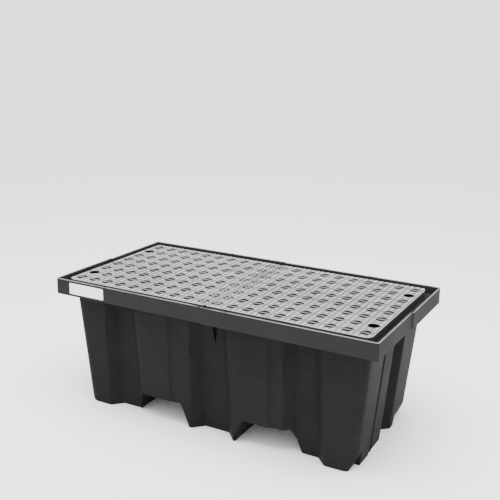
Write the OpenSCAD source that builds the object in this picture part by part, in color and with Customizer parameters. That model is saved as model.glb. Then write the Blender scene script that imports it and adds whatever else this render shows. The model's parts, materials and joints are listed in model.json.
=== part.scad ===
// Two-drum spill containment pallet: one moulded black sump that stands on
// three legs with two fork tunnels between them, and two lift-out gratings.
// Frame: +X along the long side, +Z up, origin on the floor at the middle.
// All sizes are in millimetres.

/* [Overall] */
// Length over the rim
overall_l = 1304; // [1100:1:1600]
// Width over the rim
overall_w = 668; // [540:1:820]
// Height from the floor to the top of the rim
overall_h = 508; // [400:1:620]
// Thickness of the moulded walls and floor
wall = 6; // [4:0.5:8]

/* [Body] */
// How far the rim stands out past the top of each end wall
end_overhang = 46.5; // [30:0.5:60]
// How far the rim stands out past the top of each side wall
side_overhang = 42; // [30:1:55]
// How far each end wall leans in between the seat and the floor
end_draft = 44; // [20:1:60]
// How far each side wall leans in between the seat and the floor
side_draft = 22; // [10:1:40]
// Radius of the body's upright corners
corner_r = 45; // [25:1:60]

/* [Rim] */
// Height of the rim's outer face
rim_h = 62; // [50:1:90]
// Depth of the grating seat below the top of the rim
seat_depth = 30; // [20:1:45]
// Step in the middle of each side, where its second half stands out
rim_step = 4.5; // [2:0.5:8]
// Length of the slanted face of that step
rim_step_run = 6; // [3:1:12]
// Radius of the rim's corners
rim_r = 8; // [7:1:25]

/* [Side flutes] */
// Depth of each flute
flute_depth = 40; // [20:1:50]
// Width of the flat bottom of each flute at the floor
flute_flat = 82; // [50:1:100]
// How much narrower that flat is at the seat
flute_taper = 20; // [0:1:40]
// How much wider the middle flute's flat is on its right
middle_extra = 18; // [0:1:30]
// Width of each slanted flank of a flute
flute_flank = 38; // [20:1:50]
// Flat wall between each corner of the body and the first flute
corner_panel = 106; // [80:1:140]
// How far the two raised panels of each side stand out
panel_step = 8; // [3:0.5:10]
// Width of the slanted edge of a raised panel
panel_slant = 12; // [3:0.5:16]
// Width of the lower panel left of the middle flute
middle_land = 75; // [40:1:110]
// Width of the lower panel left of the right flute
right_land = 44; // [36:1:110]

/* [End flutes] */
// Place of the end flute's middle across the end wall
end_flute_y = 50; // [20:1:80]
// Width of the flat bottom of the end flute
end_flat = 30; // [16:1:50]
// Width of each slanted flank of the end flute
end_flank = 36; // [20:1:45]
// Width of the flat panel beside the end flute
end_panel = 96; // [60:1:110]
// Depth of the narrow groove beside that panel
groove_depth = 9; // [5:1:16]
// Width of the narrow groove's bottom
groove_flat = 6; // [2:1:10]
// Width of each slanted side of that groove
groove_flank = 9; // [5:1:14]
// How far the flat panel lies behind the rest of the end wall
panel_drop = 5; // [2:0.5:10]

/* [Fork tunnels] */
// Distance between the middles of the two tunnels
fork_pitch = 444; // [400:1:500]
// How far both tunnels lie to the right of the middle
fork_shift = 10; // [-20:1:20]
// Width of a tunnel at the floor
fork_w = 244; // [200:1:260]
// How far each side of a tunnel leans in between the floor and its roof
fork_lean = 36; // [10:1:60]
// Height of a tunnel
fork_h = 90; // [70:1:120]

/* [Feet and dent] */
// How far the end feet are cut back at the floor
foot_cut = 20; // [8:1:30]
// Height of that cut
foot_cut_h = 57; // [30:1:80]
// Length of that cut from the corner before the end wall's groove
foot_cut_near = 66; // [50:1:90]
// Length of that cut from the corner beyond the end wall's flute
foot_cut_far = 130; // [60:1:150]
// Width of the small V-shaped dent below the rim
dent_w = 34; // [12:1:44]
// Length of that dent
dent_h = 92; // [40:1:120]
// Depth of that dent
dent_depth = 12; // [4:1:16]
// Place of the dent along the middle flute
dent_x = 10; // [-12:1:12]

/* [Pedestals] */
// Distance between the middles of the two pedestals
pedestal_pitch = 220; // [160:1:300]
// Radius of a pedestal at the bottom of the sump
pedestal_foot_r = 56; // [40:1:70]
// Radius of a pedestal at its top
pedestal_top_r = 34; // [24:1:45]

/* [Gratings] */
// Gap between each grating's outer end and the inside of the rim's step
end_channel = 31; // [20:1:45]
// Mean gap between each grating's long side and the inside of the rim's step
side_channel = 27.5; // [22:0.5:40]
// How far the gratings sit towards the front of that gap
forward_shift = 9; // [0:1:12]
// Gap between the two gratings
seam = 3; // [1:0.5:6]
// Clearance under each grating
rest_gap = 0.3; // [0.1:0.1:1]
// Thickness of the deck
deck_t = 4; // [3:0.5:10]
// Thickness of the grating's outer wall
skirt_t = 6; // [4:0.5:8]
// Thickness of the ribs
rib_t = 9; // [4:0.5:14]
// How far the ribs lie below the deck's top
rib_drop = 1.5; // [1:0.5:5]
// Radius of a grating's two outer corners
grating_r = 26; // [10:1:40]
// Radius of a grating's two corners at the seam
seam_r = 10; // [9:1:26]
// Diameter of the holes
hole_d = 41; // [24:1:44]
// Distance between holes along X
hole_pitch_x = 61; // [50:1:80]
// Distance between holes along Y
hole_pitch_y = 73; // [56:1:90]
// Distance from the grating's inner edge to its first column of holes
first_column = 27.5; // [26:0.5:40]
// Least distance between a hole's middle and the grating's other edges
hole_margin = 28; // [26:1:45]
// How many columns of holes lie between two cross ribs
ribbed_columns = 3; // [2:1:4]

/* [Label] */
// Width of the blank label
label_w = 160; // [80:1:220]
// Height of the blank label
label_h = 43; // [25:1:45]
// Thickness of the label
label_t = 0.5; // [0.3:0.1:1]
// Distance from the rim's left end to the label
label_inset = 66; // [30:1:200]

/* [Hidden] */
$fn = 48;
eps = 1;
arc_steps = 6;
seat_z = overall_h - seat_depth;
rim_bottom_z = overall_h - rim_h;
// Half sizes of the body at the seat and at the floor
seat_half = [overall_l / 2 - end_overhang, overall_w / 2 - side_overhang];
floor_half = seat_half - [end_draft, side_draft];
// Places of the side flutes, and of the raised panels between them
flute_half = flute_flat / 2 + flute_flank;
flute_pitch = floor_half.x - corner_panel - flute_half;
// Middle of each flute, and how much wider its flat is on its right
flutes = [[-flute_pitch, 0], [0, middle_extra], [flute_pitch, 0]];
raised_spans = [
    [-flute_pitch, -flute_half - middle_land],
    [middle_extra, flute_pitch - flute_half - right_land]
];
// Places across the end wall
flute_start_y = end_flute_y - end_flat / 2 - end_flank;
panel_start_y = flute_start_y - end_panel;
groove_y = panel_start_y - groove_flat / 2 - groove_flank;
fork_xs = [fork_shift - fork_pitch / 2, fork_shift + fork_pitch / 2];
// Extent of a grating and of its hole pattern
grating_x1 = overall_l / 2 - rim_step - wall - end_channel;
grating_l = grating_x1 - seam / 2;
grating_w = overall_w - 2 * (rim_step + wall + side_channel);
grating_bottom_z = seat_z + rest_gap;
columns = floor((grating_l - first_column - hole_margin) / hole_pitch_x) + 1;
rows = 2 * floor(((grating_w - 2 * hole_margin) / hole_pitch_y + 1) / 2);

function unit(v) = v / norm(v);

// Moves each edge of a counter-clockwise outline outwards by d
function grown(p, d) = [
    for (i = [0:len(p) - 1])
        let (
            a = unit(p[i] - p[(i + len(p) - 1) % len(p)]),
            b = unit(p[(i + 1) % len(p)] - p[i]),
            na = [a.y, -a.x],
            nb = [b.y, -b.x]
        )
        p[i] + d * (na + nb) / (1 + na * nb)
];

function turned(p) = [for (q = p) -q];

function arc(centre, r, from) = [
    for (i = [0:arc_steps])
        let (a = from + 90 * i / arc_steps)
        centre + r * [cos(a), sin(a)]
];

function half_at(z) = floor_half + (seat_half - floor_half) * z / seat_z;

// The body's plain outline, before its flutes and panels
function block_outline(h) = let (
    half = concat(
        arc([h.x - corner_r, -h.y + corner_r], corner_r, -90),
        arc([h.x - corner_r, h.y - corner_r], corner_r, 0)
    )
) concat(half, turned(half));

// A trapezoid that cuts into the front wall: x is its middle, h the body's half
// size there, and more how far its right side is moved out. Its flanks go on
// outwards until they are clear of the wall.
function front_cut(x, h, more) = [
    [x - flute_flat / 2, -h.y + flute_depth],
    [x - flute_flat / 2 - 2 * flute_flank, -h.y - flute_depth],
    [x + flute_flat / 2 + 2 * flute_flank + more, -h.y - flute_depth],
    [x + flute_flat / 2 + more, -h.y + flute_depth]
];

function taper_at(z) = flute_taper * z / seat_z;

// The same in the right end wall, where y is its middle
function end_cut(y, h, depth, flat, flank) = [
    [h.x - depth, y + flat / 2],
    [h.x - depth, y - flat / 2],
    [h.x + depth, y - flat / 2 - 2 * flank],
    [h.x + depth, y + flat / 2 + 2 * flank]
];

function panel_cut(h) = [
    [h.x - panel_drop, flute_start_y + flute_depth],
    [h.x - panel_drop, panel_start_y],
    [h.x + end_draft, panel_start_y],
    [h.x + end_draft, flute_start_y + flute_depth]
];

// A low raised panel on the front wall, from x0 to x1, with a slanted right edge
function raised_panel(x0, x1, h) = [
    [x0, -h.y + flute_depth / 2],
    [x0, -h.y - panel_step],
    [x1 - panel_slant, -h.y - panel_step],
    [x1, -h.y],
    [x1, -h.y + flute_depth / 2]
];

// A solid between two heights, whose sides join a low and a high outline.
// Both outlines are convex and have the same number of points.
module leaning_solid(low, high, z0, z1) {
    n = len(low);
    polyhedron(
        points = concat([for (p = low) [p.x, p.y, z0]], [for (p = high) [p.x, p.y, z1]]),
        faces = concat(
            [[for (i = [0:n - 1]) i]],
            [[for (i = [n - 1:-1:0]) n + i]],
            [for (i = [0:n - 1]) [i, n + i, n + (i + 1) % n]],
            [for (i = [0:n - 1]) [i, n + (i + 1) % n, (i + 1) % n]]
        )
    );
}

// The leaning body between two heights. It is the outer shape where inwards is 0,
// and the shape of its hollow where inwards is the wall.
module body_shape(z0, z1, inwards) {
    low = half_at(z0);
    high = half_at(z1);
    // The cutters start lower and end higher than the block that they cut
    cut_low = half_at(z0 - eps);
    cut_high = half_at(z1 + eps);
    difference() {
        union() {
            leaning_solid(
                grown(block_outline(low), -inwards),
                grown(block_outline(high), -inwards),
                z0,
                z1
            );
            for (turn = [0, 180])
                rotate([0, 0, turn])
                    for (span = raised_spans)
                        leaning_solid(
                            grown(raised_panel(span[0], span[1], low), -inwards),
                            grown(raised_panel(span[0], span[1], high), -inwards),
                            z0,
                            z1
                        );
        }
        for (turn = [0, 180])
            rotate([0, 0, turn]) {
                for (flute = flutes)
                    leaning_solid(
                        grown(front_cut(flute[0], cut_low, flute[1] - taper_at(z0 - eps)), inwards),
                        grown(front_cut(flute[0], cut_high, flute[1] - taper_at(z1 + eps)), inwards),
                        z0 - eps,
                        z1 + eps
                    );
                leaning_solid(
                    grown(end_cut(end_flute_y, cut_low, flute_depth, end_flat, end_flank), inwards),
                    grown(end_cut(end_flute_y, cut_high, flute_depth, end_flat, end_flank), inwards),
                    z0 - eps,
                    z1 + eps
                );
                leaning_solid(
                    grown(end_cut(groove_y, cut_low, groove_depth, groove_flat, groove_flank), inwards),
                    grown(end_cut(groove_y, cut_high, groove_depth, groove_flat, groove_flank), inwards),
                    z0 - eps,
                    z1 + eps
                );
                leaning_solid(
                    grown(panel_cut(cut_low), inwards),
                    grown(panel_cut(cut_high), inwards),
                    z0 - eps,
                    z1 + eps
                );
            }
    }
}

// Both fork tunnels; grow makes them larger for the floor over them
module fork_tunnels(grow) {
    for (x = fork_xs)
        translate([x, overall_w / 2, 0])
            rotate([90, 0, 0])
                linear_extrude(overall_w)
                    polygon([
                        [-fork_w / 2 - grow, -eps],
                        [fork_w / 2 + grow, -eps],
                        [fork_w / 2 + grow, 0],
                        [fork_w / 2 + grow - fork_lean, fork_h + grow],
                        [-fork_w / 2 - grow + fork_lean, fork_h + grow],
                        [-fork_w / 2 - grow, 0]
                    ]);
}

// The slanted cuts at the bottom of the four corners' end faces
module foot_cuts(grow) {
    top_x = half_at(foot_cut_h).x;
    wall_y = seat_half.y;
    spans = [
        [-wall_y, -floor_half.y + foot_cut_near + grow],
        [floor_half.y - foot_cut_far - grow, wall_y]
    ];
    for (turn = [0, 180])
        rotate([0, 0, turn])
            for (span = spans)
                translate([0, span[1], 0])
                    rotate([90, 0, 0])
                        linear_extrude(span[1] - span[0])
                            polygon([
                                [floor_half.x - foot_cut - grow, -eps],
                                [seat_half.x, -eps],
                                [seat_half.x, foot_cut_h + grow],
                                [top_x - grow, foot_cut_h + grow],
                                [floor_half.x - foot_cut - grow, 0]
                            ]);
}

// The small V-shaped dent in the middle flute of each side
module dents(grow) {
    top_z = rim_bottom_z - wall;
    deep_y = half_at(top_z - dent_h).y - flute_depth - dent_depth - grow;
    for (turn = [0, 180])
        rotate([0, 0, turn])
            translate([dent_x, -deep_y, 0])
                rotate([90, 0, 0])
                    linear_extrude(dent_depth + grow + side_draft)
                        polygon([
                            [-dent_w / 2 - grow, top_z + grow],
                            [0, top_z - dent_h - grow],
                            [dent_w / 2 + grow, top_z + grow]
                        ]);
}

// Hollow columns that carry the gratings along the seam; grow as above
module pedestals(grow) {
    for (side = [-1, 1])
        translate([0, side * pedestal_pitch / 2, -eps])
            cylinder(
                h = seat_z + eps - (wall - grow),
                r1 = pedestal_foot_r - wall + grow,
                r2 = pedestal_top_r - wall + grow
            );
}

module sump_cavity() {
    difference() {
        body_shape(wall, seat_z + eps, wall);
        fork_tunnels(wall);
        foot_cuts(wall);
        dents(wall);
        pedestals(wall);
    }
}

// The rim's outline, with a small step in the middle of each side
function rim_outline(d) =
    let (
        hx = overall_l / 2 - d,
        hy = overall_w / 2 - d,
        r = rim_r - d,
        half = concat(
            [[-rim_step_run / 2, -hy + rim_step], [rim_step_run / 2, -hy]],
            arc([hx - rim_step - r, -hy + r], r, -90),
            [[hx - rim_step, -rim_step_run / 2], [hx, rim_step_run / 2]],
            arc([hx - r, hy - rim_step - r], r, 0)
        )
    )
    concat(half, turned(half));

module rim() {
    translate([0, 0, rim_bottom_z])
        linear_extrude(rim_h)
            difference() {
                polygon(rim_outline(0));
                polygon(rim_outline(wall));
            }
    translate([0, 0, seat_z - wall])
        linear_extrude(wall)
            polygon(rim_outline(wall / 2));
}

module sump() {
    color([0.13, 0.13, 0.13])
        difference() {
            union() {
                body_shape(0, seat_z, 0);
                rim();
            }
            sump_cavity();
            fork_tunnels(0);
            foot_cuts(0);
            dents(0);
            pedestals(0);
        }
}

module grating_outline(d) {
    r = grating_r - d;
    near_r = seam_r - d;
    x0 = seam / 2 + d;
    x1 = grating_x1 - d;
    hy = grating_w / 2 - d;
    polygon(concat(
        arc([x1 - r, -hy + r], r, -90),
        arc([x1 - r, hy - r], r, 0),
        arc([x0 + near_r, hy - near_r], near_r, 90),
        arc([x0 + near_r, -hy + near_r], near_r, 180)
    ));
}

// Upright holes of the gratings' size at every x and y of two lists
module holes(xs, ys, h) {
    for (x = xs)
        for (y = ys)
            translate([x, y, -eps])
                cylinder(h = h + 2 * eps, d = hole_d);
}

// One grating, drawn for the right half of the pallet
module grating() {
    depth = overall_h - grating_bottom_z;
    rib_h = depth - rib_drop;
    first_x = seam / 2 + first_column;
    first_y = -(rows - 1) * hole_pitch_y / 2;
    column_xs = [for (i = [0:columns - 1]) first_x + i * hole_pitch_x];
    row_ys = [for (j = [0:rows - 1]) first_y + j * hole_pitch_y];
    // A rib under the first column, and further ones between columns
    cross_rib_xs = concat(
        [first_x],
        [for (i = [ribbed_columns - 1:ribbed_columns:columns - 2]) column_xs[i] + hole_pitch_x / 2]
    );
    translate([0, 0, grating_bottom_z])
        difference() {
            union() {
                translate([0, 0, depth - deck_t])
                    difference() {
                        linear_extrude(deck_t)
                            grating_outline(0);
                        holes(column_xs, row_ys, deck_t);
                    }
                linear_extrude(depth)
                    difference() {
                        grating_outline(0);
                        grating_outline(skirt_t);
                    }
                for (y = row_ys)
                    translate([seam / 2 + skirt_t / 2, y - rib_t / 2, 0])
                        cube([grating_l - skirt_t, rib_t, rib_h]);
                for (x = cross_rib_xs)
                    translate([x - rib_t / 2, -(grating_w - skirt_t) / 2, 0])
                        cube([rib_t, grating_w - skirt_t, rib_h]);
            }
            // The two open finger holes
            holes([column_xs[columns - 1]], [row_ys[1], row_ys[rows - 2]], depth);
        }
}

module grating_right() {
    color([0.75, 0.75, 0.75])
        translate([0, -forward_shift, 0])
            grating();
}

module grating_left() {
    color([0.75, 0.75, 0.75])
        translate([0, -forward_shift, 0])
            rotate([0, 0, 180])
                grating();
}

module label() {
    color([0.93, 0.93, 0.93])
        translate([
            -overall_l / 2 + label_inset,
            -overall_w / 2 + rim_step - label_t,
            overall_h - rim_h / 2 - label_h / 2
        ])
            cube([label_w, label_t, label_h]);
}

sump();
grating_left();
grating_right();
label();
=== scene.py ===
"""Spill containment pallet: a black moulded sump with two lift-out gratings.

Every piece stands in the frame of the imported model: metres, +Z up, the origin on
the floor at the pallet's middle, and the labelled long side facing -Y.
"""
import json
import logging
import math
from collections.abc import Callable, Iterable
from dataclasses import dataclass, field
from enum import Enum

import bmesh
import bpy
from mathutils import Matrix, Vector

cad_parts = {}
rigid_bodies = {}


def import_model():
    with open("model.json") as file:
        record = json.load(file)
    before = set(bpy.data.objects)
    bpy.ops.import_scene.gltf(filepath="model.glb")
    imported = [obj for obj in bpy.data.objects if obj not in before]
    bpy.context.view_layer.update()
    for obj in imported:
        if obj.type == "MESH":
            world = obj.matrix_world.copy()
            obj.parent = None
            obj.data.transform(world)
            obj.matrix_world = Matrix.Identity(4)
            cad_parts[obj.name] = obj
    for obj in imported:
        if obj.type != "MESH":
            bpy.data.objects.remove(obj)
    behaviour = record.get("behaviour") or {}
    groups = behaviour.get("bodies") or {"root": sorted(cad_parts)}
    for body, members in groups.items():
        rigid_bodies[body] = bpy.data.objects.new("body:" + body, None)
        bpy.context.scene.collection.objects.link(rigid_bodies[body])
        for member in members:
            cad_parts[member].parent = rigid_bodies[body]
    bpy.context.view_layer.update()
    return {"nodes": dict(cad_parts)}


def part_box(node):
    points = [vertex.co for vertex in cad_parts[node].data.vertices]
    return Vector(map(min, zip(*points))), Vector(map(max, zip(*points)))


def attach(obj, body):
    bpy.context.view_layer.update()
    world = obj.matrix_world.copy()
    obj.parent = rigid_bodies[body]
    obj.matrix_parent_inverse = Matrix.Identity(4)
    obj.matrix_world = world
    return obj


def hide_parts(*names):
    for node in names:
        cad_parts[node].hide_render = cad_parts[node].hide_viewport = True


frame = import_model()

log = logging.getLogger("pallet")

Colour = tuple[float, float, float]
Point = tuple[float, float, float]
MM = 0.001
EDGE_MARK = "edge"
MERGE_GAP = 0.02 * MM
FLAT_ANGLE = 0.8
LEVEL = 0.99
SMOOTH_ANGLE = 40.0
FLECK_SHARE = 0.25
DUST_ROUGHNESS = 0.3
RUBBED_ROUGHNESS = 0.12


# --- Small helpers --------------------------------------------------------------


def deselect_all() -> None:
    """Deselects every object."""
    for piece in bpy.context.scene.objects:
        piece.select_set(False)


def make_active(piece: bpy.types.Object) -> None:
    """Selects one object alone and makes it active.

    Args:
        piece: The object that the next operators act on.
    """
    deselect_all()
    piece.select_set(True)
    bpy.context.view_layer.objects.active = piece


def link(piece: bpy.types.Object) -> bpy.types.Object:
    """Links an object to the scene and returns it."""
    bpy.context.scene.collection.objects.link(piece)
    return piece


def merged_copy(node: str, name: str) -> bpy.types.Object:
    """Copies a CAD node's solid into a new piece with whole faces.

    Args:
        node: The CAD node to copy.
        name: The new piece's name.

    Returns:
        The new piece, its loose triangles joined and its flat faces made whole.
    """
    mesh = frame["nodes"][node].data.copy()
    mesh.name = name
    piece = link(bpy.data.objects.new(name, mesh))
    make_active(piece)
    bpy.ops.mesh.customdata_custom_splitnormals_clear()
    bpy.ops.object.mode_set(mode="EDIT")
    bpy.ops.mesh.select_mode(type="VERT")
    bpy.ops.mesh.select_all(action="SELECT")
    bpy.ops.mesh.remove_doubles(threshold=MERGE_GAP)
    bpy.ops.mesh.dissolve_limited(angle_limit=math.radians(FLAT_ANGLE))
    bpy.ops.mesh.select_all(action="DESELECT")
    bpy.ops.object.mode_set(mode="OBJECT")
    return piece


def apply_modifier(piece: bpy.types.Object, kind: str, **settings: object) -> None:
    """Adds a modifier with its settings and applies it at once.

    Args:
        piece: The object to change.
        kind: The modifier's type, such as "BEVEL".
        **settings: The modifier's own settings.
    """
    make_active(piece)
    modifier = piece.modifiers.new(kind.title(), kind)
    for key, value in settings.items():
        setattr(modifier, key, value)
    bpy.ops.object.modifier_apply(modifier=modifier.name)


def smooth(piece: bpy.types.Object, degrees: float) -> None:
    """Shades a piece smooth below an angle, with flat faces kept flat.

    Args:
        piece: The object to shade.
        degrees: Edges sharper than this stay sharp.
    """
    make_active(piece)
    bpy.ops.object.shade_smooth_by_angle(angle=math.radians(degrees))
    apply_modifier(piece, "WEIGHTED_NORMAL", weight=100, keep_sharp=True)


def slice_at(piece: bpy.types.Object, axis: int, places: Iterable[float]) -> None:
    """Cuts new edge loops right through a piece, with nothing taken away.

    Args:
        piece: The object to cut.
        axis: 0, 1 or 2, the axis that the cuts stand square to.
        places: Where the cuts lie along that axis, in metres.
    """
    make_active(piece)
    bpy.ops.object.mode_set(mode="EDIT")
    normal = [float(axis == i) for i in range(3)]
    for place in places:
        bpy.ops.mesh.select_all(action="SELECT")
        point = [place * n for n in normal]
        bpy.ops.mesh.bisect(plane_co=point, plane_no=normal, threshold=MERGE_GAP / 2)
    bpy.ops.mesh.select_all(action="DESELECT")
    bpy.ops.object.mode_set(mode="OBJECT")


def round_edges(
    piece: bpy.types.Object,
    radius_of: Callable[[bmesh.types.BMEdge], float],
    widest: float,
    segments: int,
) -> None:
    """Rounds a piece's edges, each by its own width, and marks the new faces.

    Args:
        piece: The object to round.
        radius_of: Gives each edge's width in metres, 0 for none.
        widest: The largest width that radius_of gives.
        segments: How many faces each rounding has across it.
    """
    mesh = piece.data
    shape = bmesh.new()
    shape.from_mesh(mesh)
    weight = shape.edges.layers.float.new("bevel_weight_edge")
    for edge in shape.edges:
        edge[weight] = min(1.0, radius_of(edge) / widest)
    shape.to_mesh(mesh)
    shape.free()
    spare = bpy.data.materials.new("spare")
    while len(mesh.materials) < 2:
        mesh.materials.append(spare)
    apply_modifier(
        piece,
        "BEVEL",
        limit_method="WEIGHT",
        width=widest,
        segments=segments,
        use_clamp_overlap=False,
        loop_slide=True,
        material=1,
    )
    mesh = piece.data
    mark = mesh.attributes.new(EDGE_MARK, "FLOAT", "FACE")
    for face in mesh.polygons:
        mark.data[face.index].value = float(face.material_index == 1)
        face.material_index = 0
    mesh.materials.clear()
    bpy.data.materials.remove(spare)


def hand_over(piece: bpy.types.Object, node: str, body: str) -> None:
    """Puts a finished piece in the place of its CAD node.

    Args:
        piece: The finished piece.
        node: The CAD node that it stands for.
        body: The body that it moves with.
    """
    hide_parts(node)
    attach(piece, body)
    log.info("%s: %d faces on %s", piece.name, len(piece.data.polygons), body)


# --- Shader groups that several finishes share -------------------------------------


class Sheet:
    """A node tree with short calls for adding and joining its nodes."""

    def __init__(self, tree: bpy.types.NodeTree) -> None:
        """Starts on a tree."""
        self.tree = tree

    def add(self, kind: str, **settings: object) -> bpy.types.Node:
        """Adds a node.

        Args:
            kind: The node's type name.
            **settings: Its properties, or its inputs' values under in_NAME.

        Returns:
            The new node.
        """
        node = self.tree.nodes.new(kind)
        for key, value in settings.items():
            if key.startswith("in_"):
                node.inputs[key[3:].replace("_", " ")].default_value = value
            else:
                setattr(node, key, value)
        return node

    def join(self, source: bpy.types.NodeSocket, target: bpy.types.NodeSocket) -> None:
        """Joins an output to an input."""
        self.tree.links.new(source, target)

    def maths(self, operation: str, a: object, b: object = 0.0) -> bpy.types.NodeSocket:
        """Adds a Math node.

        Args:
            operation: What it works out, such as "MULTIPLY".
            a: The first socket or number.
            b: The second socket or number.

        Returns:
            The node's output.
        """
        node = self.tree.nodes.new("ShaderNodeMath")
        node.operation = operation
        for socket, value in zip(node.inputs, (a, b)):
            if isinstance(value, bpy.types.NodeSocket):
                self.join(value, socket)
            else:
                socket.default_value = value
        return node.outputs[0]

    def remap(
        self,
        value: bpy.types.NodeSocket,
        low: float,
        high: float,
        to: tuple[float, float] = (0.0, 1.0),
    ) -> bpy.types.NodeSocket:
        """Spreads a value between two limits over a new range, held at its ends.

        Args:
            value: The socket to spread.
            low: Where the range starts.
            high: Where the range ends.
            to: The values at the two limits.

        Returns:
            The new value's socket.
        """
        node = self.tree.nodes.new("ShaderNodeMapRange")
        self.join(value, node.inputs["Value"])
        node.inputs["From Min"].default_value = low
        node.inputs["From Max"].default_value = high
        node.inputs["To Min"].default_value = to[0]
        node.inputs["To Max"].default_value = to[1]
        return node.outputs["Result"]

    def mix_colour(
        self, mask: bpy.types.NodeSocket, base: object, top: object
    ) -> bpy.types.NodeSocket:
        """Mixes two colours by a mask.

        Args:
            mask: How much of the top colour shows.
            base: The socket or colour below.
            top: The socket or colour above.

        Returns:
            The mixed colour's socket.
        """
        node = self.tree.nodes.new("ShaderNodeMix")
        node.data_type = "RGBA"
        self.join(mask, node.inputs[0])
        for socket, value in zip((node.inputs[6], node.inputs[7]), (base, top)):
            if isinstance(value, bpy.types.NodeSocket):
                self.join(value, socket)
            else:
                socket.default_value = (*value, 1.0)
        return node.outputs[2]


NUMBER = "NodeSocketFloat"


def new_group(
    name: str, inputs: dict[str, float], outputs: Iterable[str]
) -> tuple[Sheet, bpy.types.Node, bpy.types.Node]:
    """Starts a shader node group.

    Args:
        name: The group's name.
        inputs: Its number inputs with their default values.
        outputs: Its number outputs.

    Returns:
        The group's sheet, its input node and its output node.
    """
    tree = bpy.data.node_groups.new(name, "ShaderNodeTree")
    tree.interface.new_socket(name="Vector", in_out="INPUT", socket_type="NodeSocketVector")
    for label, value in inputs.items():
        socket = tree.interface.new_socket(name=label, in_out="INPUT", socket_type=NUMBER)
        socket.default_value = value
    for label in outputs:
        tree.interface.new_socket(name=label, in_out="OUTPUT", socket_type=NUMBER)
    sheet = Sheet(tree)
    return sheet, sheet.add("NodeGroupInput"), sheet.add("NodeGroupOutput")


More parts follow.
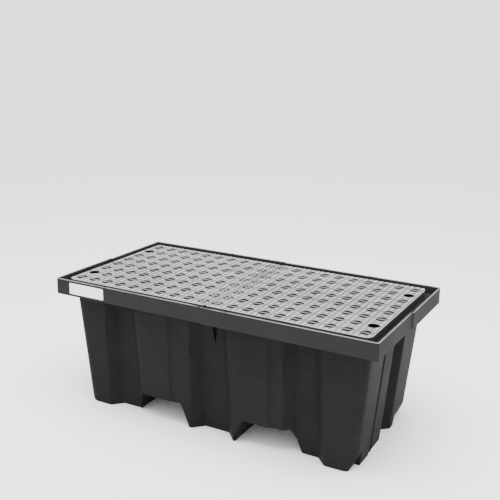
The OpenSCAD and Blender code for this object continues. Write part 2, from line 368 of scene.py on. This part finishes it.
class SharedGroups:
    """The node groups that the plastics and the label share, each built once."""

    def __init__(self) -> None:
        """Builds every group."""
        self.grain = self.build_grain()
        self.wear_and_painted_highlight = self.build_wear_and_painted_highlight()
        self.scuffs = self.build_scuffs()
        self.clouds = self.build_clouds()
        self.dust = self.build_dust()
        self.band = self.build_band()

    def build_grain(self) -> bpy.types.NodeTree:
        """Builds the fine pebbled skin of a moulded plastic.

        Returns:
            A group that puts out a height and a fleck mask.
        """
        finer, pore_share = 1.7, 0.6
        sheet, start, end = new_group(
            "moulded grain", {"Scale": 420.0}, ("Height", "Fleck")
        )
        cells = sheet.add("ShaderNodeTexVoronoi", feature="SMOOTH_F1", in_Smoothness=0.6)
        fine = sheet.add("ShaderNodeTexNoise", in_Detail=3.0, in_Roughness=0.6)
        for node in (cells, fine):
            sheet.join(start.outputs["Vector"], node.inputs["Vector"])
        sheet.join(start.outputs["Scale"], cells.inputs["Scale"])
        fine_scale = sheet.maths("MULTIPLY", start.outputs["Scale"], finer)
        sheet.join(fine_scale, fine.inputs["Scale"])
        pores = sheet.maths("MULTIPLY", fine.outputs["Fac"], pore_share)
        height = sheet.maths("ADD", cells.outputs["Distance"], pores)
        sheet.join(height, end.inputs["Height"])
        sheet.join(sheet.remap(fine.outputs["Fac"], 0.6, 0.78), end.inputs["Fleck"])
        return sheet.tree

    def build_wear_and_painted_highlight(self) -> bpy.types.NodeTree:
        """Builds the worn look of marked edges, and on the sump's lip a painted highlight.

        Returns:
            A group that turns the edge mark into a broken mask.
        """
        unmarked, marked, softness = 0.72, 0.45, 0.16
        sheet, start, end = new_group(
            "rubbed edges", {"Edge": 0.0, "Scale": 14.0, "Amount": 0.6}, ("Mask",)
        )
        patches = sheet.add("ShaderNodeTexNoise", in_Detail=6.0, in_Roughness=0.65)
        sheet.join(start.outputs["Vector"], patches.inputs["Vector"])
        sheet.join(start.outputs["Scale"], patches.inputs["Scale"])
        eased = sheet.maths("MULTIPLY", start.outputs["Edge"], marked)
        needed = sheet.maths("SUBTRACT", unmarked, eased)
        over = sheet.maths("SUBTRACT", patches.outputs["Fac"], needed)
        broken = sheet.remap(over, 0.0, softness)
        mask = sheet.maths("MULTIPLY", broken, start.outputs["Edge"])
        shown = sheet.maths("MULTIPLY", mask, start.outputs["Amount"])
        sheet.join(shown, end.inputs["Mask"])
        return sheet.tree

    def build_scuffs(self) -> bpy.types.NodeTree:
        """Builds short fine scuffs that run along two directions.

        Returns:
            A group that puts out a scuff mask.
        """
        directions = ((0.35, (1.0, 14.0, 3.0)), (-0.6, (16.0, 1.0, 2.0)))
        sheet, start, end = new_group("scuffs", {"Scale": 9.0, "Amount": 0.5}, ("Mask",))
        layers = []
        for turn, stretch in directions:
            place = sheet.add("ShaderNodeMapping")
            place.inputs["Rotation"].default_value = (turn, turn * 0.5, turn)
            place.inputs["Scale"].default_value = stretch
            sheet.join(start.outputs["Vector"], place.inputs["Vector"])
            streaks = sheet.add("ShaderNodeTexNoise", in_Detail=4.0, in_Roughness=0.7)
            sheet.join(place.outputs["Vector"], streaks.inputs["Vector"])
            sheet.join(start.outputs["Scale"], streaks.inputs["Scale"])
            layers.append(sheet.remap(streaks.outputs["Fac"], 0.62, 0.72))
        both = sheet.maths("MAXIMUM", layers[0], layers[1])
        shown = sheet.maths("MULTIPLY", both, start.outputs["Amount"])
        sheet.join(shown, end.inputs["Mask"])
        return sheet.tree

    def build_clouds(self) -> bpy.types.NodeTree:
        """Builds the broad, soft unevenness of a thick moulded wall.

        Returns:
            A group that puts out a cloud value and a slow wave height.
        """
        wave_ratio = 2.2
        sheet, start, end = new_group("moulded clouds", {"Scale": 5.0}, ("Value", "Wave"))
        broad = sheet.add("ShaderNodeTexNoise", in_Detail=4.0, in_Roughness=0.55)
        wave = sheet.add("ShaderNodeTexNoise", in_Detail=1.0, in_Roughness=0.4)
        for node in (broad, wave):
            sheet.join(start.outputs["Vector"], node.inputs["Vector"])
        sheet.join(start.outputs["Scale"], broad.inputs["Scale"])
        wave_scale = sheet.maths("MULTIPLY", start.outputs["Scale"], wave_ratio)
        sheet.join(wave_scale, wave.inputs["Scale"])
        sheet.join(sheet.remap(broad.outputs["Fac"], 0.3, 0.7), end.inputs["Value"])
        sheet.join(wave.outputs["Fac"], end.inputs["Wave"])
        return sheet.tree

    def build_dust(self) -> bpy.types.NodeTree:
        """Builds the dust that settles on faces that look up.

        Returns:
            A group that puts out a dust mask and how far a face looks up.
        """
        sheet, start, end = new_group(
            "settled dust", {"Scale": 30.0, "Amount": 0.3}, ("Mask", "Up")
        )
        geometry = sheet.add("ShaderNodeNewGeometry")
        parts = sheet.add("ShaderNodeSeparateXYZ")
        sheet.join(geometry.outputs["Normal"], parts.inputs["Vector"])
        specks = sheet.add("ShaderNodeTexNoise", in_Detail=5.0, in_Roughness=0.7)
        sheet.join(start.outputs["Vector"], specks.inputs["Vector"])
        sheet.join(start.outputs["Scale"], specks.inputs["Scale"])
        up = sheet.remap(parts.outputs["Z"], 0.8, 0.99)
        mask = sheet.maths("MULTIPLY", up, sheet.remap(specks.outputs["Fac"], 0.35, 0.7))
        shown = sheet.maths("MULTIPLY", mask, start.outputs["Amount"])
        sheet.join(shown, end.inputs["Mask"])
        sheet.join(up, end.inputs["Up"])
        return sheet.tree

    def build_band(self) -> bpy.types.NodeTree:
        """Builds a level band round a piece, with soft and slightly uneven limits.

        Returns:
            A group that puts out a mask between two heights.
        """
        sheet, start, end = new_group(
            "level band",
            {"Low": 0.0, "High": 1.0, "Softness": 0.002, "Amount": 1.0},
            ("Mask",),
        )
        parts = sheet.add("ShaderNodeSeparateXYZ")
        sheet.join(start.outputs["Vector"], parts.inputs["Vector"])
        uneven = sheet.add("ShaderNodeTexNoise", in_Scale=7.0, in_Detail=5.0)
        sheet.join(start.outputs["Vector"], uneven.inputs["Vector"])
        sides = []
        for limit, turn in (("Low", 1.0), ("High", -1.0)):
            over = sheet.maths("SUBTRACT", parts.outputs["Z"], start.outputs[limit])
            inside = sheet.maths("MULTIPLY", over, turn)
            share = sheet.maths("DIVIDE", inside, start.outputs["Softness"])
            sides.append(sheet.remap(share, 0.0, 1.0))
        mask = sheet.maths("MULTIPLY", sides[0], sides[1])
        strength = sheet.remap(uneven.outputs["Fac"], 0.2, 0.8, (0.75, 1.0))
        mask = sheet.maths("MULTIPLY", mask, strength)
        shown = sheet.maths("MULTIPLY", mask, start.outputs["Amount"])
        sheet.join(shown, end.inputs["Mask"])
        return sheet.tree


# --- Finishes ------------------------------------------------------------------------


@dataclass(frozen=True)
class PlasticFinish:
    """A moulded plastic: its colours, skin and signs of use.

    The colours are the plain surface's two tones, its worn places and its dust; on the
    black plastic the worn colour on the lip's rounding is also a painted highlight. Depths
    and the band's two heights are in metres. The band is a colour laid between two heights,
    kept off faces that look up where band_on_top is 0: painted light that lightens the
    black rim, painted shade that darkens the grey grating's hole walls and ribs, and a
    darker strip along the label's lower edge.
    """

    name: str
    base: Colour
    shade: Colour
    rubbed_and_painted_highlight: Colour
    dusty: Colour
    roughness: tuple[float, float]
    specular: float
    grain_scale: float
    grain_depth: float
    wave_depth: float
    wear_and_painted_highlight: float
    scuff: float
    dust: float
    band: tuple[float, float]
    band_colour: Colour
    band_amount: float
    band_on_top: float

    def build(self, groups: SharedGroups) -> bpy.types.Material:
        """Builds the material.

        Args:
            groups: The shared node groups.

        Returns:
            The finished material.
        """
        material = bpy.data.materials.new(self.name)
        material.use_nodes = True
        material.diffuse_color = (*self.base, 1.0)
        tree = material.node_tree
        tree.nodes.clear()
        sheet = Sheet(tree)
        place = sheet.add("ShaderNodeTexCoord").outputs["Object"]
        mark = sheet.add("ShaderNodeAttribute", attribute_name=EDGE_MARK)

        def use(group: bpy.types.NodeTree, **values: float) -> bpy.types.Node:
            """Places a shared group.

            Args:
                group: The group.
                **values: Its inputs' values for this finish.

            Returns:
                The group's node.
            """
            node = sheet.add("ShaderNodeGroup", node_tree=group)
            sheet.join(place, node.inputs["Vector"])
            for key, value in values.items():
                node.inputs[key].default_value = value
            return node

        grain = use(groups.grain, Scale=self.grain_scale)
        wear_and_painted_highlight = use(groups.wear_and_painted_highlight, Amount=self.wear_and_painted_highlight)
        sheet.join(mark.outputs["Fac"], wear_and_painted_highlight.inputs["Edge"])
        scuffs = use(groups.scuffs, Amount=self.scuff)
        clouds = use(groups.clouds)
        dust = use(groups.dust, Amount=self.dust)
        band_low, band_high = self.band
        band = use(groups.band, Low=band_low, High=band_high, Amount=self.band_amount)

        colour = sheet.mix_colour(clouds.outputs["Value"], self.base, self.shade)
        fleck = sheet.maths("MULTIPLY", grain.outputs["Fleck"], FLECK_SHARE)
        colour = sheet.mix_colour(fleck, colour, self.rubbed_and_painted_highlight)
        # Worn edges and scuffs, which on the black lip also paint a highlight.
        rubbed_and_painted_highlight = sheet.maths("MAXIMUM", wear_and_painted_highlight.outputs["Mask"], scuffs.outputs["Mask"])
        colour = sheet.mix_colour(rubbed_and_painted_highlight, colour, self.rubbed_and_painted_highlight)
        colour = sheet.mix_colour(dust.outputs["Mask"], colour, self.dusty)
        # The band: painted light on the black rim, painted shade on the grey grating's hole
        # walls and ribs, and a darker strip on the label.
        spared = sheet.maths("MULTIPLY", dust.outputs["Up"], 1.0 - self.band_on_top)
        shown = sheet.maths("SUBTRACT", 1.0, spared)
        banded = sheet.maths("MULTIPLY", band.outputs["Mask"], shown)
        colour = sheet.mix_colour(banded, colour, self.band_colour)

        rough = sheet.remap(clouds.outputs["Value"], 0.0, 1.0, self.roughness)
        dusted = sheet.maths("MULTIPLY", dust.outputs["Mask"], DUST_ROUGHNESS)
        rough = sheet.maths("ADD", rough, dusted)
        scraped = sheet.maths("MULTIPLY", rubbed_and_painted_highlight, RUBBED_ROUGHNESS)
        rough = sheet.maths("ADD", rough, scraped)

        waves = sheet.add("ShaderNodeBump", in_Distance=self.wave_depth, in_Strength=1.0)
        sheet.join(clouds.outputs["Wave"], waves.inputs["Height"])
        skin = sheet.add("ShaderNodeBump", in_Distance=self.grain_depth, in_Strength=1.0)
        sheet.join(grain.outputs["Height"], skin.inputs["Height"])
        sheet.join(waves.outputs["Normal"], skin.inputs["Normal"])

        shader = sheet.add("ShaderNodeBsdfPrincipled")
        shader.inputs["Specular IOR Level"].default_value = self.specular
        shader.inputs["IOR"].default_value = 1.5
        sheet.join(colour, shader.inputs["Base Color"])
        sheet.join(rough, shader.inputs["Roughness"])
        sheet.join(skin.outputs["Normal"], shader.inputs["Normal"])
        end = sheet.add("ShaderNodeOutputMaterial")
        sheet.join(shader.outputs["BSDF"], end.inputs["Surface"])
        return material


BLACK_PLASTIC = PlasticFinish(
    name="black polyethylene",
    base=(0.0102, 0.0103, 0.0105),
    shade=(0.0135, 0.0137, 0.014),
    # Light grey for worn edges and scuffs, and a painted highlight on the lip.
    rubbed_and_painted_highlight=(0.22, 0.223, 0.226),
    dusty=(0.06, 0.059, 0.056),
    roughness=(0.42, 0.52),
    specular=0.012,
    grain_scale=420.0,
    grain_depth=0.00012,
    wave_depth=0.0016,
    wear_and_painted_highlight=0.8,
    scuff=0.02,
    dust=0.12,
    # Painted light: the band lightens the rim and its ledge above the body.
    band=(0.4455, 0.5065),
    band_colour=(0.023, 0.0232, 0.0236),
    band_amount=0.85,
    band_on_top=1.0,
)

GREY_PLASTIC = PlasticFinish(
    name="light grey polyethylene",
    base=(0.125, 0.126, 0.128),
    shade=(0.075, 0.076, 0.077),
    rubbed_and_painted_highlight=(0.52, 0.52, 0.515),
    dusty=(0.17, 0.165, 0.155),
    roughness=(0.48, 0.58),
    specular=0.18,
    grain_scale=300.0,
    grain_depth=0.00016,
    wave_depth=0.0006,
    wear_and_painted_highlight=1.0,
    scuff=0.25,
    dust=0.25,
    # Painted shade: the band darkens the hole walls, ribs and sides below the deck's top,
    # where shade falls inside the grating.
    band=(0.40, 0.5075),
    band_colour=(0.014, 0.0138, 0.0132),
    band_amount=0.98,
    band_on_top=0.0,
)

LABEL_VINYL = PlasticFinish(
    name="white label vinyl",
    base=(0.80, 0.80, 0.79),
    shade=(0.74, 0.74, 0.73),
    rubbed_and_painted_highlight=(0.62, 0.61, 0.59),
    dusty=(0.55, 0.53, 0.50),
    roughness=(0.34, 0.44),
    specular=0.5,
    grain_scale=900.0,
    grain_depth=0.00003,
    wave_depth=0.0003,
    wear_and_painted_highlight=0.5,
    scuff=0.18,
    dust=0.2,
    band=(0.45, 0.4565),
    band_colour=(0.55, 0.54, 0.52),
    band_amount=0.6,
    band_on_top=1.0,
)


# --- Pieces --------------------------------------------------------------------------


@dataclass
class Sump:
    """The one-piece moulded sump with its rim, flutes, legs and fork tunnels.

    Roundings are widths, heights are above the floor, and the cuts are extra loops
    that keep the long walls' faces from shading unevenly.
    """

    node: str = "sump"
    lip_round: float = 2.4 * MM
    rim_foot_round: float = 2.0 * MM
    flute_round: float = 6.3 * MM
    end_round: float = 4.5 * MM
    end_x: float = 545 * MM
    groove_y: float = 109 * MM
    groove_half: float = 16 * MM
    panel_round: float = 2.0 * MM
    foot_round: float = 5.0 * MM
    tunnel_round: float = 6.0 * MM
    level_start: float = 98 * MM
    level_step: float = 52 * MM
    level_count: int = 7
    cut_step: float = 110 * MM
    cut_shift_x: float = 0.37
    cut_shift_y: float = 0.43
    floor_top_z: float = 10 * MM
    tunnel_top_z: float = 100 * MM
    seat_z: float = 478 * MM
    lip_z: float = 498 * MM
    rim_z: float = 446 * MM
    step_height: float = 50 * MM
    near: float = 1 * MM
    steep: float = 0.8
    segments: int = 4
    flat_below: float = 17.0
    sharp_above: float = 42.0
    body_wear: float = 0.12
    dent_round: float = 1.2 * MM
    dent_x: float = 10 * MM
    dent_half: float = 19 * MM
    dent_y: float = 200 * MM
    dent_z: float = 340 * MM
    widest: float = field(init=False)

    def __post_init__(self) -> None:
        """Works out the widest rounding."""
        self.widest = max(self.flute_round, self.foot_round, self.tunnel_round)

    def inside_faces(self, shape: bmesh.types.BMesh) -> set[int]:
        """Finds the faces of the hollow, spreading from its floor up to the seat.

        Args:
            shape: The sump's mesh.

        Returns:
            The indices of the hollow's faces.
        """
        limit = self.seat_z - 0.1 * MM
        floor = [
            face for face in shape.faces
            if face.normal.z > LEVEL and face.calc_center_median().z < self.floor_top_z
        ]
        found = {face.index for face in floor}
        queue = list(floor)
        while queue:
            for edge in queue.pop().edges:
                for face in edge.link_faces:
                    flat_top = face.normal.z > LEVEL and face.calc_center_median().z > limit
                    if face.index not in found and not flat_top:
                        found.add(face.index)
                        queue.append(face)
        return found

    def beside_dent(self, place: Vector) -> bool:
        """Says whether a place lies at the small dent in a middle flute.

        Args:
            place: A point on the sump.

        Returns:
            True at the dent of either long side.
        """
        middle = -math.copysign(self.dent_x, place.y)
        at_height = self.dent_z < place.z < self.rim_z
        on_side = abs(place.y) > self.dent_y
        return at_height and on_side and abs(place.x - middle) < self.dent_half

    def beside_groove(self, place: Vector) -> bool:
        """Says whether a place on an end wall lies at the narrow groove."""
        return abs(place.y + math.copysign(self.groove_y, place.x)) < self.groove_half

    def build(self) -> bpy.types.Object:
        """Builds the sump.

        Returns:
            The finished piece.
        """
        piece = merged_copy(self.node, "sump_body")
        levels = [self.level_start + self.level_step * i for i in range(self.level_count)]
        columns = [(i + self.cut_shift_x) * self.cut_step for i in range(-6, 6)]
        rows = [(i + self.cut_shift_y) * self.cut_step for i in range(-3, 3)]
        for axis, places in enumerate((columns, rows, levels)):
            slice_at(piece, axis, places)
        shape = bmesh.new()
        shape.from_mesh(piece.data)
        shape.faces.ensure_lookup_table()
        inside = self.inside_faces(shape)
        shape.free()

        def rim_radius(low: float, high: float, upright: bool) -> float:
            """Gives the rounding of one of the rim's edges.

            Args:
                low: The edge's lower height.
                high: Its upper height.
                upright: Whether it climbs the rim's step.

            Returns:
                The rounding's width, 0 for none.
            """
            if low > self.lip_z:
                return self.lip_round
            if upright:
                return self.panel_round
            return self.rim_foot_round if high < self.rim_z + self.near else 0.0

        def radius_of(edge: bmesh.types.BMEdge) -> float:
            """Gives an edge's rounding from its place and its angle.

            Args:
                edge: One of the sump's edges.

            Returns:
                The rounding's width, 0 for none.
            """
            if len(edge.link_faces) != 2:
                return 0.0
            angle = edge.calc_face_angle(0.0)
            hidden = all(face.index in inside for face in edge.link_faces)
            if hidden or angle < math.radians(self.flat_below):
                return 0.0
            one, two = (vertex.co for vertex in edge.verts)
            span = one - two
            low, high = sorted((one.z, two.z))
            if self.beside_dent((one + two) / 2):
                return self.dent_round
            if low > self.rim_z - self.near:
                return rim_radius(low, high, abs(span.z) > self.step_height)
            at_end = abs(one.x + two.x) > 2 * self.end_x
            if abs(span.z) > self.steep * span.length:
                if at_end and self.beside_groove(one):
                    return self.panel_round
                wide = self.end_round if at_end else self.flute_round
                return wide if angle > math.radians(self.sharp_above) else self.panel_round
            if at_end:
                return self.panel_round
            if high < self.near:
                return self.foot_round
            return self.tunnel_round if low < self.tunnel_top_z else 0.0

        round_edges(piece, radius_of, self.widest, self.segments)
        # The lip's rounding keeps its full mark, so the black finish's light worn colour
        # paints a highlight along it, partly edge wear too; the marks below the lip are cut
        # down by body_wear.
        mark = piece.data.attributes[EDGE_MARK].data
        for face in piece.data.polygons:
            if face.center.z < self.lip_z:
                mark[face.index].value *= self.body_wear
        smooth(piece, SMOOTH_ANGLE)
        return piece


class Side(Enum):
    """The two gratings, by the side of the pallet that they cover."""

    LEFT = "grating_left"
    RIGHT = "grating_right"


@dataclass
class Grating:
    """One lift-out grating: round holes, ribs below and a tread of small slanted bars.

    The bars end at deck_z. The deck between them lies lower by bar_rise, and they
    reach bar_sink into it. Their turn is in degrees from the long side.
    """

    side: Side
    deck_round: float = 3.0 * MM
    hole_round: float = 0.6 * MM
    deck_z: float = 508 * MM
    border: float = 8 * MM
    segments: int = 3
    columns: int = 10
    rows: int = 8
    hole_pitch: tuple[float, float] = (61 * MM, 73 * MM)
    first_hole_x: float = 29 * MM
    middle_y: float = -9 * MM
    bars_per_pitch: tuple[int, int] = (3, 4)
    bar_margin: float = 2 * MM
    bar_size: tuple[float, float] = (13.0 * MM, 4.4 * MM)
    bar_rise: float = 1.0 * MM
    bar_sink: float = 0.6 * MM
    bar_slope: float = 0.9 * MM
    bar_turn: float = 52.0
    bar_wear: float = 1.0

    def bar_places(self) -> list[tuple[float, float]]:
        """Lists the places of the tread's bars, clear of the holes and the edges.

        Returns:
            The x and y of each bar's middle, in metres.
        """
        low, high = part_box(self.side.value)
        across, along = self.bars_per_pitch
        step_x, step_y = self.hole_pitch[0] / across, self.hole_pitch[1] / along
        first_y = self.middle_y - (self.rows - 1) * self.hole_pitch[1] / 2
        sign = 1.0 if self.side is Side.RIGHT else -1.0
        edge_ys = (
            low.y + self.border + self.bar_margin,
            high.y - self.border - self.bar_margin,
        )
        places = []
        for i in range(across * self.columns):
            x = sign * (self.first_hole_x + i * step_x)
            if not low.x + self.border < x < high.x - self.border:
                continue
            places += [(x, y) for y in edge_ys]
            for j in range(-1, along * self.rows - 2):
                between_rows = j % along == along // 2
                between_columns = i % across and j % 2
                if between_rows or between_columns:
                    places.append((x, first_y + j * step_y))
        return places

    def build_bars(self) -> bpy.types.Object:
        """Builds all the tread's bars as one piece.

        Returns:
            The bars, each a closed block with sloping sides.
        """
        turn = Matrix.Rotation(math.radians(self.bar_turn), 3, "Z")
        length, width = self.bar_size
        ends = (
            (self.deck_z - self.bar_rise - self.bar_sink, 0.0),
            (self.deck_z, self.bar_slope),
        )
        points: list[Vector] = []
        faces: list[list[int]] = []
        for x, y in self.bar_places():
            first = len(points)
            for z, inwards in ends:
                half_x, half_y = length / 2 - inwards, width / 2 - inwards
                for sx, sy in ((-1, -1), (1, -1), (1, 1), (-1, 1)):
                    corner = Vector((sx * half_x, sy * half_y, 0.0))
                    points.append(turn @ corner + Vector((x, y, z)))
            faces.append([first + k for k in (3, 2, 1, 0)])
            faces.append([first + k for k in (4, 5, 6, 7)])
            for k in range(4):
                after = (k + 1) % 4
                faces.append([first + k, first + after, first + 4 + after, first + 4 + k])
        mesh = bpy.data.meshes.new("tread_bars")
        mesh.from_pydata(points, [], faces)
        mark = mesh.attributes.new(EDGE_MARK, "FLOAT", "FACE")
        for face in mesh.polygons:
            mark.data[face.index].value = self.bar_wear
        return link(bpy.data.objects.new("tread_bars", mesh))

    def build(self) -> bpy.types.Object:
        """Builds the grating.

        The deck's top is lowered to the ground between the bars before its edges
        are rounded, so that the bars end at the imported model's height.

        Returns:
            The finished piece.
        """
        piece = merged_copy(self.side.value, f"{self.side.value}_deck")
        low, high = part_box(self.side.value)
        ground_z = self.deck_z - self.bar_rise
        for vertex in piece.data.vertices:
            vertex.co.z = min(vertex.co.z, ground_z)

        just_below = ground_z - 0.1 * MM

        def on_border(point: Vector) -> bool:
            """Says whether a point lies on the grating's outer wall."""
            away_x = min(point.x - low.x, high.x - point.x)
            return min(away_x, point.y - low.y, high.y - point.y) < self.border

        def radius_of(edge: bmesh.types.BMEdge) -> float:
            """Gives the rounding of an edge of the deck's top.

            Args:
                edge: One of the grating's edges.

            Returns:
                The rounding's width, 0 for none.
            """
            angle = edge.calc_face_angle(0.0)
            if len(edge.link_faces) != 2 or angle < math.radians(SMOOTH_ANGLE):
                return 0.0
            one, two = (vertex.co for vertex in edge.verts)
            if min(one.z, two.z) < just_below:
                return 0.0
            outer = on_border(one) and on_border(two)
            return self.deck_round if outer else self.hole_round

        round_edges(piece, radius_of, self.deck_round, self.segments)
        bars = self.build_bars()
        make_active(piece)
        bars.select_set(True)
        bpy.ops.object.join()
        smooth(piece, SMOOTH_ANGLE)
        return piece


@dataclass
class Label:
    """The blank sticker on the left of the front rim."""

    node: str = "label"
    corner: float = 4 * MM
    segments: int = 5
    smooth_angle: float = 30.0

    def build(self) -> bpy.types.Object:
        """Builds the label with rounded corners.

        Returns:
            The finished piece.
        """
        low, high = (Vector(point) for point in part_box(self.node))
        deselect_all()
        bpy.ops.mesh.primitive_cube_add(size=1, location=(low + high) / 2)
        piece = bpy.context.object
        piece.name = "label_sticker"
        piece.data.name = "label_sticker"
        piece.scale = high - low
        bpy.ops.object.transform_apply(location=True, rotation=True, scale=True)

        def radius_of(edge: bmesh.types.BMEdge) -> float:
            """Gives the corners' rounding to edges through the label's thickness."""
            span = edge.verts[0].co - edge.verts[1].co
            return self.corner if abs(span.y) > 0.9 * span.length else 0.0

        round_edges(piece, radius_of, self.corner, self.segments)
        smooth(piece, self.smooth_angle)
        return piece


# --- Studio --------------------------------------------------------------------------


@dataclass(frozen=True)
class Softbox:
    """A large soft light that points at a place."""

    name: str
    place: Point
    target: Point
    size: tuple[float, float]
    power: float

    def build(self) -> bpy.types.Object:
        """Builds the light.

        Returns:
            The light's object.
        """
        lamp = bpy.data.lights.new(self.name, "AREA")
        lamp.shape = "RECTANGLE"
        lamp.size, lamp.size_y = self.size
        lamp.energy = self.power
        piece = link(bpy.data.objects.new(self.name, lamp))
        away = Vector(self.target) - Vector(self.place)
        piece.location = self.place
        piece.rotation_euler = away.to_track_quat("-Z", "Y").to_euler()
        return piece


@dataclass
class Studio:
    """The pale floor, the soft lights and the camera."""

    camera_place: Point = (1.3844, -2.5156, 1.4054)
    yaw: float = -28.64
    pitch: float = 15.011
    roll: float = 0.9
    lens: float = 57.07
    sensor: float = 36.0
    floor_size: float = 60.0
    floor_drop: float = 0.2 * MM
    floor_white: float = 0.96
    floor_roughness: float = 0.9
    sky: float = 2.3
    lights: tuple[Softbox, ...] = (
        Softbox("overhead", (0.2, -0.5, 3.2), (0.0, 0.0, 0.4), (3.0, 2.4), 190.0),
        Softbox("right back", (3.4, 1.6, 1.5), (0.3, 0.0, 0.3), (1.8, 2.2), 6.0),
        Softbox("left front", (-3.4, -1.6, 1.6), (0.0, 0.0, 0.3), (2.0, 2.0), 16.0),
    )

    def build_floor(self) -> None:
        """Builds the plain pale floor."""
        deselect_all()
        bpy.ops.mesh.primitive_plane_add(
            size=self.floor_size, location=(0, 0, -self.floor_drop)
        )
        floor = bpy.context.object
        floor.name = "studio_floor"
        material = bpy.data.materials.new("studio floor")
        material.use_nodes = True
        shader = material.node_tree.nodes["Principled BSDF"]
        white = self.floor_white
        shader.inputs["Base Color"].default_value = (white, white, white, 1.0)
        shader.inputs["Roughness"].default_value = self.floor_roughness
        shader.inputs["Specular IOR Level"].default_value = 0.0
        floor.data.materials.append(material)

    def build_sky(self) -> None:
        """Builds the even white surround."""
        world = bpy.data.worlds.new("studio")
        world.use_nodes = True
        background = world.node_tree.nodes["Background"]
        background.inputs["Color"].default_value = (1.0, 1.0, 1.0, 1.0)
        background.inputs["Strength"].default_value = self.sky
        bpy.context.scene.world = world

    def build_camera(self) -> None:
        """Builds the camera that looks down at the front right corner."""
        yaw, pitch, roll = (math.radians(a) for a in (self.yaw, self.pitch, self.roll))
        ahead = Vector((
            math.sin(yaw) * math.cos(pitch),
            math.cos(yaw) * math.cos(pitch),
            -math.sin(pitch),
        ))
        right = Vector((math.cos(yaw), -math.sin(yaw), 0.0))
        up = right.cross(ahead)
        across = math.cos(roll) * right + math.sin(roll) * up
        upwards = -math.sin(roll) * right + math.cos(roll) * up
        lens = bpy.data.cameras.new("camera")
        lens.lens = self.lens
        lens.sensor_width = self.sensor
        camera = link(bpy.data.objects.new("camera", lens))
        turn = Matrix((across, upwards, -ahead)).transposed()
        camera.matrix_world = Matrix.Translation(self.camera_place) @ turn.to_4x4()
        bpy.context.scene.camera = camera

    def build(self) -> None:
        """Builds the whole studio."""
        self.build_floor()
        self.build_sky()
        self.build_camera()
        for light in self.lights:
            light.build()


def dress(piece: bpy.types.Object, material: bpy.types.Material) -> None:
    """Gives a piece its one material."""
    piece.data.materials.clear()
    piece.data.materials.append(material)


def main() -> None:
    """Builds the pallet and its studio in order."""
    logging.basicConfig(level=logging.INFO)
    groups = SharedGroups()
    black = BLACK_PLASTIC.build(groups)
    grey = GREY_PLASTIC.build(groups)
    white = LABEL_VINYL.build(groups)

    sump = Sump().build()
    dress(sump, black)
    hand_over(sump, "sump", "base")

    for side, body in ((Side.LEFT, "left_grating"), (Side.RIGHT, "right_grating")):
        deck = Grating(side).build()
        dress(deck, grey)
        hand_over(deck, side.value, body)

    label = Label().build()
    dress(label, white)
    hand_over(label, "label", "base")

    Studio().build()
    deselect_all()


if __name__ == "__main__":
    main()
